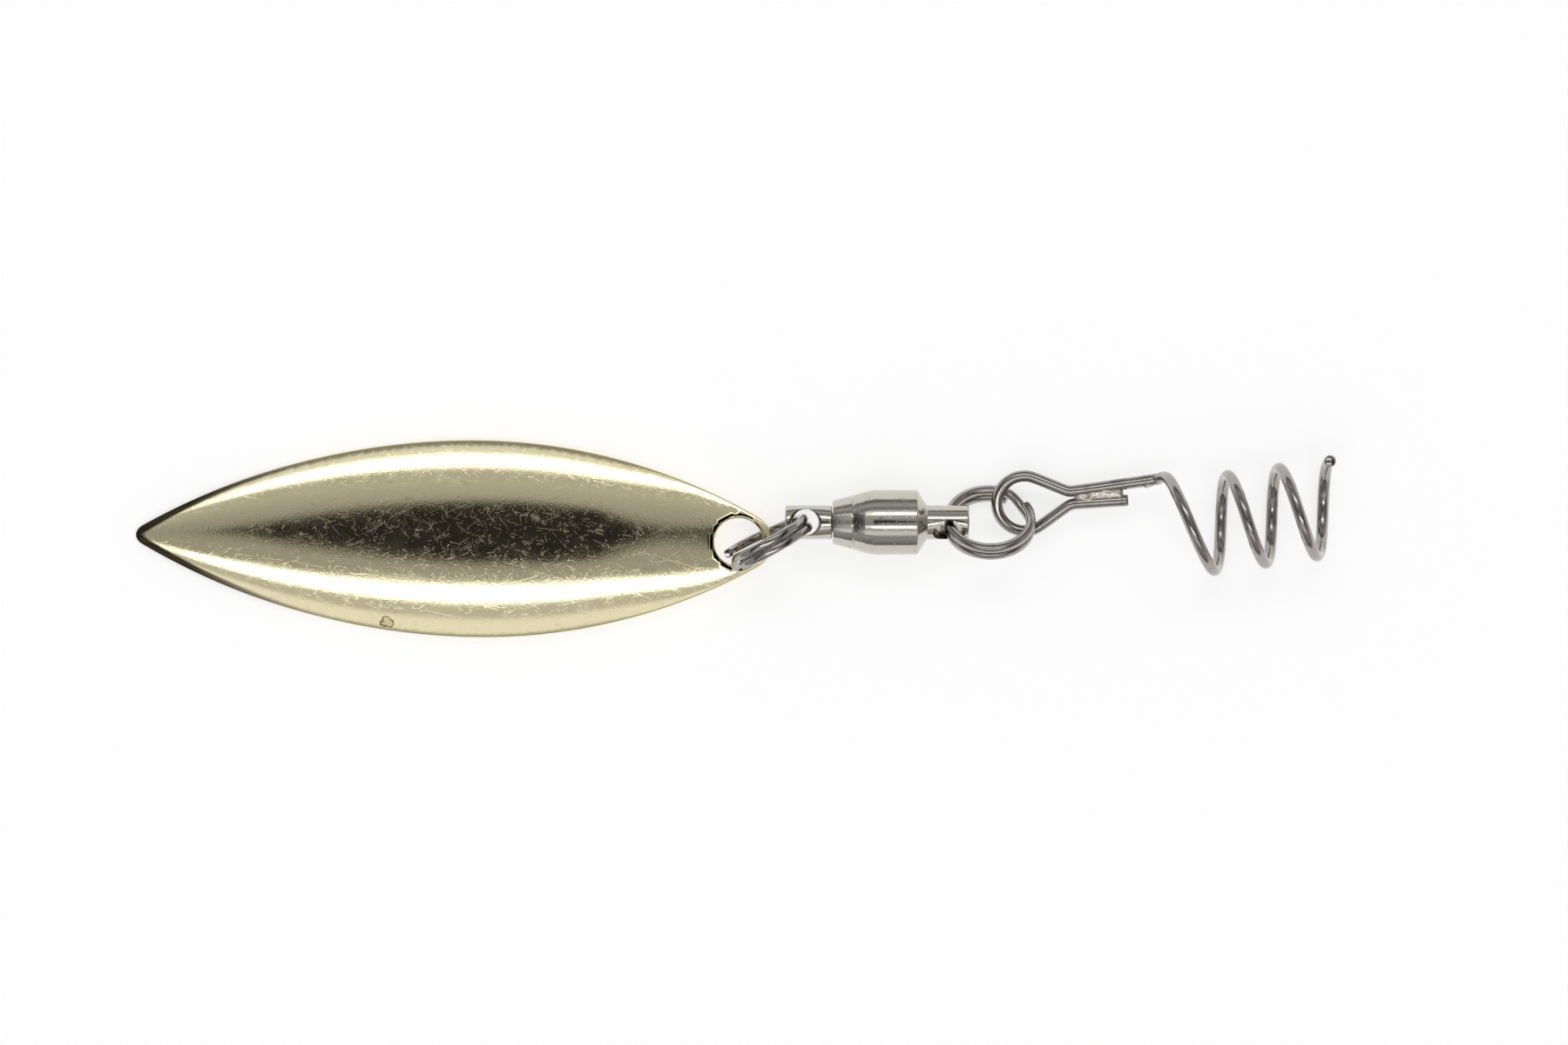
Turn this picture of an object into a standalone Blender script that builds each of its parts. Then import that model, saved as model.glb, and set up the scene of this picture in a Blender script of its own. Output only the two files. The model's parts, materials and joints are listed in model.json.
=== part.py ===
"""Willow-blade spinner with a ball-bearing swivel and a corkscrew wire for soft baits.

The lure lies on a flat surface, as it does when it is put down: blade dome up, both split rings
through their eyes, corkscrew on its side. Units are metres. +X runs from the blade's tip to the
corkscrew's tip, +Z is up, and the origin is the centre of the footprint, on the surface.
"""

import math

import bmesh
import bpy
from mathutils import Matrix, Vector

MM = 0.001

# Blade: a willow leaf pressed from sheet, with two edge arcs each side and rounded ends.
BLADE_HALF_WIDTH = 7.68 * MM
BLADE_TIP_REACH = 26.45 * MM  # from the widest section to the tip
BLADE_EYE_REACH = 22.70 * MM  # from the widest section to the end with the hole
BLADE_TIP_ROUND = 0.87 * MM
BLADE_EYE_ROUND = 2.27 * MM
BLADE_THICKNESS = 0.60 * MM
BLADE_CUP = 0.153  # depth of the cup over the half width
CUP_SQUARE_SHARE = 0.575  # the rest of the cup's section is a fourth power, steeper at the rim
CUP_FLATTENING = 0.45  # how much of the cup is lost around the hole
BLADE_HOLE_RADIUS = 1.85 * MM
BLADE_HOLE_AT = 20.05 * MM  # from the widest section
BLADE_EDGE_BEVEL = 0.12 * MM
BLADE_WIDEST = Vector((-19.61, 0.0, -0.07)) * MM  # where the widest section lies
BLADE_YAW = math.radians(-0.7)
BLADE_LIFT = math.radians(1.03)  # the eye end stands on the split ring

# Split rings: two turns of flattened wire with a step between the wire's ends.
RING_OUTER_RADIUS = 3.50 * MM
RING_WIRE_WIDTH = 0.70 * MM  # radial
RING_WIRE_HEIGHT = 0.66 * MM  # along the ring's axis
RING_COIL_GAP = 0.04 * MM
RING_WIRE_CORNER = 0.20 * MM
RING_STEP_ANGLE = math.radians(35)  # between the two wire ends, where the wire changes level
RING_MEAN_RADIUS = RING_OUTER_RADIUS - RING_WIRE_WIDTH / 2
RING_STEP = RING_WIRE_HEIGHT + RING_COIL_GAP
FRONT_RING_YAW = math.radians(29)
FRONT_RING_LEAN = math.radians(5)
FRONT_RING_SPREAD = 0.45 * MM  # its first wire end stands off, as on a ring that was opened
REAR_RING_TILT = math.radians(45)

# Swivel, along X. Stations are measured from the seam between the end cap and the body.
SWIVEL_SEAM = Vector((9.18, 1.265, 3.18)) * MM
EYE_RADIUS = 1.30 * MM
EYE_HOLE_RADIUS = 0.98 * MM
EYE_FLARE_RADIUS = 1.24 * MM
EYE_HOLE_TO_END = 1.54 * MM
FRONT_HOLE_AT = -3.64 * MM
REAR_HOLE_AT = 7.35 * MM
REAR_HOLE_TILT = REAR_RING_TILT
CAP_FRONT_AT = -1.54 * MM
CAP_FRONT_RADIUS = 1.67 * MM
SEAM_RADIUS = 2.07 * MM
SEAM_GAP = 0.05 * MM
BODY_RADIUS = 2.49 * MM
BODY_SHOULDER_AT = 4.94 * MM
BODY_NECK_AT = 5.68 * MM
BORE_RADIUS = 1.75 * MM
BORE_DEPTH = 3.30 * MM
SHAFT_RADIUS = 0.75 * MM
SHAFT_CLEARANCE = 0.05 * MM
CAP_SPIGOT_LENGTH = 0.60 * MM
COLLAR_RADIUS = 1.60 * MM
COLLAR_LENGTH = 0.80 * MM
BALL_RADIUS = 0.40 * MM
BALL_COUNT = 8
BALL_CIRCLE_RADIUS = 1.20 * MM
BALL_CLEARANCE = 0.02 * MM
RIVET_RADIUS = 1.05 * MM
RIVET_LENGTH = 0.30 * MM

# Corkscrew wire, in its own frame: x along the coil's axis, y to the shank's side, z up.
WIRE_RADIUS = 0.445 * MM
COIL_RADIUS = 3.53 * MM  # to the wire's centre
COIL_PITCH = 3.95 * MM
COIL_START = 0.45 * MM
COIL_LEAD_IN = 0.75 * MM  # extra advance in the first half turn
COIL_END_ANGLE = math.radians(3 * 360 + 12)
SHANK_OFFSET = 4.07 * MM  # from the coil's axis
SHANK_BEND_RADIUS = 0.90 * MM
NECK_AT = -6.95 * MM
NECK_BEND_RADIUS = 1.60 * MM
EYE_LOOP_CENTRE = (-10.41 * MM, 3.65 * MM)
EYE_LOOP_RADIUS = 2.13 * MM
TAIL_NECK_SPACING = 0.96 * MM
TAIL_END = (-2.50 * MM, 2.78 * MM)
SOLDER_GAP = 0.01 * MM
EYE_TWIST = math.radians(20)  # the loop's plane against the coil's axis
SCREW_ORIGIN = Vector((33.10, 0.624, 3.69)) * MM
SCREW_YAW = math.radians(8)
SCREW_PITCH = math.radians(-4)
SCREW_ROLL = math.radians(-12)

ROUND_STEPS = 32


def clear_scene():
    """Removes every object that a new file starts with."""
    for obj in list(bpy.data.objects):
        bpy.data.objects.remove(obj)


def material(name, colour, roughness, metallic=1.0):
    """A Principled material in one colour."""
    made = bpy.data.materials.new(name)
    made.use_nodes = True
    shader = made.node_tree.nodes["Principled BSDF"]
    shader.inputs["Base Color"].default_value = (*colour, 1.0)
    shader.inputs["Roughness"].default_value = roughness
    shader.inputs["Metallic"].default_value = metallic
    return made


def link(name, data, finish, parent=None, local=None, smooth_deg=35):
    """Puts data in the scene as a named object, under parent, smooth except at sharp edges."""
    obj = bpy.data.objects.new(name, data)
    bpy.context.scene.collection.objects.link(obj)
    if finish:
        data.materials.append(finish)
    obj.parent = parent
    if local:
        obj.matrix_local = local
    if isinstance(data, bpy.types.Mesh):
        data.shade_smooth()
        data.set_sharp_from_angle(angle=math.radians(smooth_deg))
    return obj


def mesh_from(bm, name):
    """Turns a bmesh into a mesh with its faces pointing out."""
    bmesh.ops.recalc_face_normals(bm, faces=bm.faces)
    mesh = bpy.data.meshes.new(name)
    bm.to_mesh(mesh)
    bm.free()
    return mesh


def frame_at(name, origin, x_axis, y_axis):
    """An empty whose X and Y axes are the given directions."""
    x_axis = x_axis.normalized()
    z_axis = x_axis.cross(y_axis).normalized()
    y_axis = z_axis.cross(x_axis)
    empty = bpy.data.objects.new(name, None)
    bpy.context.scene.collection.objects.link(empty)
    turn = Matrix((x_axis, y_axis, z_axis)).transposed()
    empty.matrix_local = Matrix.Translation(origin) @ turn.to_4x4()
    return empty


def turned(name, profile, steps=ROUND_STEPS):
    """A mesh turned about X from a closed outline of (x, radius) points."""
    bm = bmesh.new()
    points = [bm.verts.new((x, r, 0)) for x, r in profile]
    edges = [bm.edges.new(pair) for pair in zip(points, points[1:] + points[:1])]
    bmesh.ops.spin(
        bm,
        geom=points + edges,
        axis=(1, 0, 0),
        cent=(0, 0, 0),
        angle=2 * math.pi,
        steps=steps,
        use_merge=True,
    )
    bmesh.ops.remove_doubles(bm, verts=bm.verts, dist=1e-6)
    on_axis = [e for e in bm.edges if all(math.hypot(v.co.y, v.co.z) < 1e-7 for v in e.verts)]
    bmesh.ops.delete(bm, geom=on_axis, context="EDGES")
    return mesh_from(bm, name)


def swept(name, path, sides_at):
    """A closed tube through path; sides_at(i) gives the section's corners at point i."""
    bm = bmesh.new()
    rows = [[bm.verts.new(corner) for corner in sides_at(i)] for i in range(len(path))]
    for row, following in zip(rows, rows[1:]):
        count = len(row)
        for j in range(count):
            k = (j + 1) % count
            bm.faces.new((row[j], row[k], following[k], following[j]))
    bm.faces.new(rows[0])
    bm.faces.new(rows[-1])
    return mesh_from(bm, name)


def cut(obj, *cutters):
    """Subtracts the cutters, which aren't shown."""
    for cutter in cutters:
        cutter.hide_render = True
        cutter.display_type = "WIRE"
        modifier = obj.modifiers.new("cut_" + cutter.name, "BOOLEAN")
        modifier.operation = "DIFFERENCE"
        modifier.object = cutter


def smoothstep(t):
    """0 to 1, with no slope at either end."""
    t = min(1.0, max(0.0, t))
    return t * t * (3 - 2 * t)


# ---------------------------------------------------------------- blade


def edge_arc_radius(reach, end_round):
    """Radius of the edge arc that meets the end's rounding with no corner."""
    side = BLADE_HALF_WIDTH - end_round
    return ((reach - end_round) ** 2 / side + end_round + BLADE_HALF_WIDTH) / 2


def arc_half_width(x):
    """Half width of the leaf at x from its widest section, before its ends are rounded."""
    reach, end_round = (
        (BLADE_TIP_REACH, BLADE_TIP_ROUND) if x < 0 else (BLADE_EYE_REACH, BLADE_EYE_ROUND)
    )
    radius = edge_arc_radius(reach, end_round)
    return math.sqrt(radius**2 - x**2) - (radius - BLADE_HALF_WIDTH)


def half_width(x):
    """Half width of the leaf at x, with the rounded ends."""
    reach, end_round = (
        (BLADE_TIP_REACH, BLADE_TIP_ROUND) if x < 0 else (BLADE_EYE_REACH, BLADE_EYE_ROUND)
    )
    radius = edge_arc_radius(reach, end_round)
    centre = reach - end_round
    tangent = centre * radius / (radius - end_round)
    if abs(x) <= tangent:
        return arc_half_width(x)
    return math.sqrt(max(0.0, end_round**2 - (abs(x) - centre) ** 2))


def dome_height(x, y):
    """Height of the blade's outer face over its rim plane, less the sheet's thickness."""
    width = arc_half_width(x)
    across = min(1.0, abs(y) / width)
    flat = 1 - CUP_FLATTENING * smoothstep((x - 0.4 * BLADE_EYE_REACH) / (0.6 * BLADE_EYE_REACH))
    section = 1 - CUP_SQUARE_SHARE * across**2 - (1 - CUP_SQUARE_SHARE) * across**4
    return BLADE_CUP * flat * width * section


def blade_stations(count=40):
    """Stations along the leaf, closer together at both ends."""
    length = BLADE_TIP_REACH + BLADE_EYE_REACH
    for i in range(count + 1):
        even = i / count
        crowded = (1 - math.cos(math.pi * even)) / 2
        yield -BLADE_TIP_REACH + length * (0.8 * crowded + 0.2 * even)


def build_blade(finish):
    columns = 14
    bm = bmesh.new()
    rows = []
    for x in blade_stations():
        w = half_width(x)
        if w < 1e-6:
            rows.append([bm.verts.new((x, 0, BLADE_THICKNESS + dome_height(x, 0)))])
            continue
        ys = [w * math.sin(math.pi / 2 * (2 * j / columns - 1)) for j in range(columns + 1)]
        rows.append([bm.verts.new((x, y, BLADE_THICKNESS + dome_height(x, y))) for y in ys])
    for row, following in zip(rows, rows[1:]):
        for j in range(columns):
            corners = [row[min(j, len(row) - 1)], following[min(j, len(following) - 1)]]
            corners += [following[min(j + 1, len(following) - 1)], row[min(j + 1, len(row) - 1)]]
            bm.faces.new(list(dict.fromkeys(corners)))
    mesh = mesh_from(bm, "blade")
    if mesh.polygons[len(mesh.polygons) // 2].normal.z < 0:
        mesh.flip_normals()
    along = Vector((math.cos(BLADE_YAW), math.sin(BLADE_YAW), math.sin(BLADE_LIFT)))
    origin = BLADE_WIDEST + Vector((0, 0, BLADE_TIP_REACH * math.sin(BLADE_LIFT)))
    seat = frame_at("blade_seat", origin, along, Vector((0, 1, 0)))
    blade = link("blade", mesh, finish, seat)
    sheet = blade.modifiers.new("sheet", "SOLIDIFY")
    sheet.thickness = BLADE_THICKNESS
    sheet.offset = -1
    edge = blade.modifiers.new("edge", "BEVEL")
    edge.width = BLADE_EDGE_BEVEL
    edge.segments = 2
    edge.angle_limit = math.radians(50)
    half = 3 * MM
    outline = [(-half, 0), (half, 0), (half, BLADE_HOLE_RADIUS), (-half, BLADE_HOLE_RADIUS)]
    punch = turned("blade_punch", outline)
    lean = Matrix.Translation((BLADE_HOLE_AT, 0, 0)) @ Matrix.Rotation(math.pi / 2, 4, "Y")
    cut(blade, link("blade_punch", punch, None, seat, lean))
    return blade


# ---------------------------------------------------------------- split rings


def ring_level(angle):
    """Height of the wire along the ring's axis, angle from its first end."""
    step_starts = 2 * math.pi - RING_STEP_ANGLE
    return RING_STEP * (smoothstep((angle - step_starts) / RING_STEP_ANGLE) - 0.5)


def ring_section():
    """Corners of the flattened wire, as (radial, axial) offsets."""
    a = RING_WIRE_WIDTH / 2
    b = RING_WIRE_HEIGHT / 2
    c = RING_WIRE_CORNER
    upper = [(a, b - c), (a - c, b), (c - a, b), (-a, b - c)]
    return upper + [(-x, -y) for x, y in upper]


def build_ring(name, finish, frame, first_end, spread=0.0):
    """A split ring about its frame's Z; first_end is the angle of its first wire end."""
    total = 4 * math.pi - RING_STEP_ANGLE
    count = 80
    angles = [total * i / count for i in range(count + 1)]

    def corners(i):
        turn = first_end + angles[i]
        stand_off = spread * (1 - smoothstep(angles[i] / math.radians(150)))
        level = ring_level(angles[i]) - stand_off
        out = Vector((math.cos(turn), math.sin(turn), 0))
        return [out * (RING_MEAN_RADIUS + r) + Vector((0, 0, level + h)) for r, h in ring_section()]

    return link(name, swept(name, angles, corners), finish, frame, smooth_deg=50)


# ---------------------------------------------------------------- swivel


def eye_drill(name, frame, at, tilt):
    """Cutter for a cross hole with flared mouths, through an eye at station at."""
    long = 2.2 * EYE_RADIUS
    throat = 0.45 * EYE_RADIUS
    mouth = EYE_RADIUS
    grow = (EYE_FLARE_RADIUS - EYE_HOLE_RADIUS) / (mouth - throat)
    flare = EYE_HOLE_RADIUS + grow * (long - throat)
    outline = [(-long, 0), (long, 0), (long, flare), (throat, EYE_HOLE_RADIUS)]
    outline += [(-throat, EYE_HOLE_RADIUS), (-long, flare)]
    local = Matrix.Translation((at, 0, 0)) @ Matrix.Rotation(tilt, 4, "X")
    local = local @ Matrix.Rotation(math.pi / 2, 4, "Y")
    return link(name, turned(name, outline), None, frame, local)


def build_rotating_eye(finish, frame):
    end = FRONT_HOLE_AT - EYE_HOLE_TO_END
    shoulder = CAP_FRONT_AT - SEAM_GAP
    peened = CAP_SPIGOT_LENGTH + 2 * BALL_RADIUS + 2 * BALL_CLEARANCE + COLLAR_LENGTH + BALL_CLEARANCE
    soft = 0.15 * MM
    outline = [(end, 0), (end, EYE_RADIUS - soft), (end + soft, EYE_RADIUS), (shoulder - soft, EYE_RADIUS)]
    outline += [(shoulder, EYE_RADIUS - soft), (shoulder, SHAFT_RADIUS), (peened, SHAFT_RADIUS)]
    outline += [(peened, RIVET_RADIUS), (peened + RIVET_LENGTH * 0.4, RIVET_RADIUS)]
    outline += [(peened + RIVET_LENGTH, 0.6 * RIVET_RADIUS), (peened + RIVET_LENGTH, 0)]
    eye = link("rotating_eye", turned("rotating_eye", outline), finish, frame)
    cut(eye, eye_drill("front_eye_drill", frame, FRONT_HOLE_AT, 0))
    return eye


def build_end_cap(finish, frame):
    bore = SHAFT_RADIUS + SHAFT_CLEARANCE
    spigot = BORE_RADIUS - 0.03 * MM
    outline = [(CAP_FRONT_AT, bore), (CAP_FRONT_AT, CAP_FRONT_RADIUS - 0.1 * MM)]
    outline += [(CAP_FRONT_AT + 0.1 * MM, CAP_FRONT_RADIUS), (-SEAM_GAP, SEAM_RADIUS), (-SEAM_GAP, spigot)]
    outline += [(CAP_SPIGOT_LENGTH, spigot), (CAP_SPIGOT_LENGTH, bore)]
    return link("end_cap", turned("end_cap", outline), finish, frame)


def build_shaft_collar(finish, frame):
    start = CAP_SPIGOT_LENGTH + 2 * BALL_RADIUS + 2 * BALL_CLEARANCE
    bore = SHAFT_RADIUS + 0.02 * MM
    outline = [(start, bore), (start, COLLAR_RADIUS), (start + COLLAR_LENGTH, COLLAR_RADIUS)]
    outline += [(start + COLLAR_LENGTH, bore)]
    return link("shaft_collar", turned("shaft_collar", outline), finish, frame)


def build_body(finish, frame):
    end = REAR_HOLE_AT + EYE_HOLE_TO_END
    soft = 0.18 * MM
    outline = [(BORE_DEPTH + 0.5 * MM, 0), (BORE_DEPTH, BORE_RADIUS), (0, BORE_RADIUS), (0, SEAM_RADIUS)]
    outline += [(0.40 * MM, 2.24 * MM), (0.80 * MM, 2.38 * MM), (1.15 * MM, 2.45 * MM)]
    outline += [(1.60 * MM, BODY_RADIUS)]
    outline += [(BODY_SHOULDER_AT - soft, BODY_RADIUS), (BODY_SHOULDER_AT, BODY_RADIUS - soft)]
    outline += [(BODY_NECK_AT, EYE_RADIUS + 0.05 * MM), (BODY_NECK_AT + 0.12 * MM, EYE_RADIUS)]
    outline += [(end - soft, EYE_RADIUS), (end, EYE_RADIUS - soft), (end, 0)]
    body = link("swivel_body", turned("swivel_body", outline), finish, frame)
    cut(body, eye_drill("rear_eye_drill", frame, REAR_HOLE_AT, REAR_HOLE_TILT))
    return body


def build_balls(finish, frame):
    at = CAP_SPIGOT_LENGTH + BALL_CLEARANCE + BALL_RADIUS
    bm = bmesh.new()
    bmesh.ops.create_uvsphere(bm, u_segments=12, v_segments=8, radius=BALL_RADIUS)
    ball = mesh_from(bm, "bearing_ball")
    for i in range(BALL_COUNT):
        turn = 2 * math.pi * i / BALL_COUNT
        place = Vector((at, BALL_CIRCLE_RADIUS * math.cos(turn), BALL_CIRCLE_RADIUS * math.sin(turn)))
        link(f"bearing_ball_{i + 1}", ball, finish if i == 0 else None, frame, Matrix.Translation(place))


# ---------------------------------------------------------------- corkscrew wire


def arc(centre, radius, start, end, count):
    """Points on a circle in the plane, from angle start to end."""
    for i in range(count + 1):
        turn = start + (end - start) * i / count
        yield Vector((centre[0] + radius * math.cos(turn), centre[1] + radius * math.sin(turn), 0))


def tangent_angle(centre, radius, point, side):
    """Angle on the circle where a line from point touches it; side is 1 or -1."""
    away = Vector(point) - Vector(centre)
    return math.atan2(away.y, away.x) + side * math.acos(radius / away.length)


def rounded(corner, before, after, radius, count=5):
    """Points of the fillet that rounds a corner between two straight runs."""
    back = (before - corner).normalized()
    on = (after - corner).normalized()
    half = back.angle(on) / 2
    reach = radius / math.tan(half)
    centre = corner + (back + on).normalized() * (radius / math.sin(half))
    start = corner + back * reach - centre
    finish = corner + on * reach - centre
    for i in range(count + 1):
        yield centre + start.slerp(finish, i / count) * radius


def loop_path():
    """From the tail's cut end, round the eye and back to the shank, in the wire's plane."""
    shank_neck = Vector((NECK_AT, SHANK_OFFSET, 0))
    tail_neck = Vector((NECK_AT, SHANK_OFFSET - TAIL_NECK_SPACING, 0))
    tail_end = Vector((*TAIL_END, 0))
    centre = Vector((*EYE_LOOP_CENTRE, 0))
    low = tangent_angle(EYE_LOOP_CENTRE, EYE_LOOP_RADIUS, tail_neck.xy, -1)
    high = tangent_angle(EYE_LOOP_CENTRE, EYE_LOOP_RADIUS, shank_neck.xy, 1) - 2 * math.pi
    loop = list(arc(centre, EYE_LOOP_RADIUS, low, high, 26))
    points = [tail_end, tail_end.lerp(tail_neck, 0.5)]
    points += rounded(tail_neck, tail_end, loop[0], NECK_BEND_RADIUS)
    points += loop
    points += rounded(shank_neck, loop[-1], Vector((0, SHANK_OFFSET, 0)), NECK_BEND_RADIUS)
    return points


def coil_point(turn):
    """Centre of the wire on the coil, turn from the shank's side."""
    settle = smoothstep(turn / math.radians(150))
    radius = SHANK_OFFSET + (COIL_RADIUS - SHANK_OFFSET) * settle
    along = COIL_PITCH * turn / (2 * math.pi) + COIL_LEAD_IN * smoothstep(turn / math.pi)
    return Vector((COIL_START + along, radius * math.cos(turn), radius * math.sin(turn)))


def wire_path():
    """The whole wire's centreline: tail, eye, shank, bend and coil."""
    shank_axis = Vector((0, SHANK_OFFSET, 0))
    lean = Matrix.Translation(shank_axis) @ Matrix.Rotation(EYE_TWIST, 4, "X")
    points = [lean @ (p - shank_axis) for p in loop_path()]
    first = math.asin(SHANK_BEND_RADIUS / SHANK_OFFSET)
    shank_end = Vector((COIL_START - SHANK_BEND_RADIUS, SHANK_OFFSET, 0))
    points += [points[-1].lerp(shank_end, 0.5)]
    for i in range(6):
        turn = math.radians(80) * i / 6
        sideways = SHANK_BEND_RADIUS * math.sin(turn)
        up = SHANK_BEND_RADIUS * (1 - math.cos(turn))
        points.append(shank_end + Vector((sideways, 0, up)))
    turns = COIL_END_ANGLE - first
    count = 84
    points += [coil_point(first + turns * i / count) for i in range(count + 1)]
    return points


def screw_frame():
    turn = Matrix.Rotation(SCREW_YAW, 3, "Z") @ Matrix.Rotation(SCREW_PITCH, 3, "Y")
    turn = turn @ Matrix.Rotation(SCREW_ROLL, 3, "X")
    return frame_at("screw_frame", SCREW_ORIGIN, turn.col[0].copy(), turn.col[1].copy())


def build_wire(finish, frame):
    path = wire_path()
    curve = bpy.data.curves.new("corkscrew_wire", "CURVE")
    curve.dimensions = "3D"
    curve.bevel_depth = WIRE_RADIUS
    curve.bevel_resolution = 3
    curve.use_fill_caps = True
    spline = curve.splines.new("POLY")
    spline.points.add(len(path) - 1)
    for point, place in zip(spline.points, path):
        point.co = (*place, 1)
    return link("corkscrew_wire", curve, finish, frame)


def build_solder(finish, frame):
    """The fillet that joins the tail to the shank, between the two wires."""
    shank_axis = Vector((0, SHANK_OFFSET, 0))
    lean = Matrix.Translation(shank_axis) @ Matrix.Rotation(EYE_TWIST, 4, "X")
    lean = lean @ Matrix.Translation(-shank_axis)
    start = Vector((NECK_AT + 1.0 * MM, SHANK_OFFSET, 0))
    count = 10

    def corners(i):
        x = start.x + (TAIL_END[0] - 0.15 * MM - start.x) * i / count
        share = (x - NECK_AT) / (TAIL_END[0] - NECK_AT)
        neck_y = SHANK_OFFSET - TAIL_NECK_SPACING
        tail_y = neck_y + (TAIL_END[1] - neck_y) * share
        middle = (SHANK_OFFSET + tail_y) / 2
        half = (SHANK_OFFSET - tail_y) / 2
        thick = (0.36 - 0.03 * math.sin(1.7 * i)) * MM
        side = []
        for k in range(7):
            z = thick * (1 - k / 3)
            side.append((half - math.sqrt((WIRE_RADIUS + SOLDER_GAP) ** 2 - z**2), z))
        section = side + [(-y, z) for y, z in reversed(side)]
        return [lean @ Vector((x, middle + y, z)) for y, z in section]

    return link("solder_joint", swept("solder_joint", range(count + 1), corners), finish, frame)


def main():
    clear_scene()
    gold = material("gold_plate", (0.83, 0.74, 0.45), 0.18)
    nickel = material("nickel_plate", (0.62, 0.60, 0.56), 0.25)
    stainless = material("stainless", (0.42, 0.40, 0.38), 0.28)
    ball_steel = material("ball_steel", (0.65, 0.65, 0.66), 0.1)
    solder = material("solder", (0.60, 0.57, 0.50), 0.45)

    swivel = frame_at("swivel_frame", SWIVEL_SEAM, Vector((1, 0, 0)), Vector((0, 1, 0)))
    build_body(nickel, swivel)
    build_end_cap(nickel, swivel)
    build_rotating_eye(nickel, swivel)
    build_shaft_collar(ball_steel, swivel)
    build_balls(ball_steel, swivel)

    front_hole = SWIVEL_SEAM + Vector((FRONT_HOLE_AT, 0, 0))
    heading = Vector((math.cos(FRONT_RING_YAW), math.sin(FRONT_RING_YAW), 0))
    side = Vector((math.sin(FRONT_RING_YAW), -math.cos(FRONT_RING_YAW), 0))
    up = Vector((0, 0, 1)) * math.cos(FRONT_RING_LEAN) + side * math.sin(FRONT_RING_LEAN)
    half_thickness = RING_STEP / 2 + RING_WIRE_HEIGHT / 2
    ring_height = RING_OUTER_RADIUS * math.cos(FRONT_RING_LEAN) + half_thickness * math.sin(FRONT_RING_LEAN)
    below = (front_hole.z - ring_height) / math.cos(FRONT_RING_LEAN)
    reach = math.sqrt(RING_MEAN_RADIUS**2 - below**2)
    centre = front_hole - heading * reach - up * below
    front = frame_at("front_ring_frame", centre, heading, up)
    build_ring("blade_split_ring", stainless, front, math.pi, FRONT_RING_SPREAD)

    rear_hole = SWIVEL_SEAM + Vector((REAR_HOLE_AT, 0, 0))
    tilted = Vector((0, -math.cos(REAR_RING_TILT), math.sin(REAR_RING_TILT)))
    rear_centre = rear_hole + Vector((RING_MEAN_RADIUS, 0, 0))
    rear = frame_at("rear_ring_frame", rear_centre, Vector((1, 0, 0)), tilted)
    build_ring("screw_split_ring", stainless, rear, math.radians(-29))

    build_blade(gold)
    screw = screw_frame()
    build_wire(stainless, screw)
    build_solder(solder, screw)


main()
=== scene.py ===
"""Finished look of the willow-blade spinner: smooth metal pieces, worn finishes, light and camera.

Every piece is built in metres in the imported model's frame. The rings, the swivel and the balls take
their places from its joints and nodes, and the blade and the corkscrew wire from the values below.
"""

import json
import math

import bmesh
import bpy
from mathutils import Matrix, Vector, noise
from mathutils.geometry import delaunay_2d_cdt


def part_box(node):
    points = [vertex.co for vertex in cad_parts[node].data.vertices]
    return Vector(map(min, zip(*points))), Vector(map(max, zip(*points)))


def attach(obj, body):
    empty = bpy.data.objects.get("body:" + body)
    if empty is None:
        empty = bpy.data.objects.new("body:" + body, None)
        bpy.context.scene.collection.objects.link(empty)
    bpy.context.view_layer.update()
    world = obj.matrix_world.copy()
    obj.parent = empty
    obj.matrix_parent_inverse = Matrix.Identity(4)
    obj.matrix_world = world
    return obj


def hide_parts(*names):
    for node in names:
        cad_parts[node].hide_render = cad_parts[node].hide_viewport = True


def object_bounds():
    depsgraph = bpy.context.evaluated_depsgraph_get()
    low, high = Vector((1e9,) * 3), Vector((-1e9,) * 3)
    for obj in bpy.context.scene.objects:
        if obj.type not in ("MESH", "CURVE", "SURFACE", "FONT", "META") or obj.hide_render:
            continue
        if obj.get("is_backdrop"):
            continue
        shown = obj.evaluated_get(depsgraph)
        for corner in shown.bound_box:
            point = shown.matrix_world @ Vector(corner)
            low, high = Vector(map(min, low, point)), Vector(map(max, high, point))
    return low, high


MM = 0.001

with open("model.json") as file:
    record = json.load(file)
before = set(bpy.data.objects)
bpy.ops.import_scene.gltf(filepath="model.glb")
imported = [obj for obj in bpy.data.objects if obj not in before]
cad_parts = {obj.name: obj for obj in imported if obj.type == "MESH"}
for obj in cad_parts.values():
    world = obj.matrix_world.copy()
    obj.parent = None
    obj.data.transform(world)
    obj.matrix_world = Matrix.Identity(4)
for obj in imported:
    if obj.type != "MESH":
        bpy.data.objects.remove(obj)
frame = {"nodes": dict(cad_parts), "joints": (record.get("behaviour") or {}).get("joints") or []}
cad_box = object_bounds()
joints = {joint["name"]: joint for joint in frame["joints"]}

# Blade
BLADE_HALF_WIDTH = 7.68 * MM
BLADE_TIP_REACH = 26.45 * MM
BLADE_EYE_REACH = 22.70 * MM
BLADE_TIP_ROUND = 0.87 * MM
BLADE_EYE_ROUND = 2.27 * MM
BLADE_THICKNESS = 0.60 * MM
BLADE_CUP = 0.153
CUP_SQUARE_SHARE = 0.575
CUP_FLATTENING = 0.45
BLADE_HOLE_RADIUS = 1.85 * MM
BLADE_HOLE_AT = 20.05 * MM
BLADE_EDGE_ROUND = 0.19 * MM
BLADE_GRID = 0.30 * MM
ARC_STEPS = 110
NOSE_STEPS = 24
HOLE_STEPS = 96
BLADE_WIDEST = Vector((-19.61, 0.0, -0.07)) * MM
BLADE_YAW = math.radians(-0.7)
BLADE_LIFT = math.radians(1.03)

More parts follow.
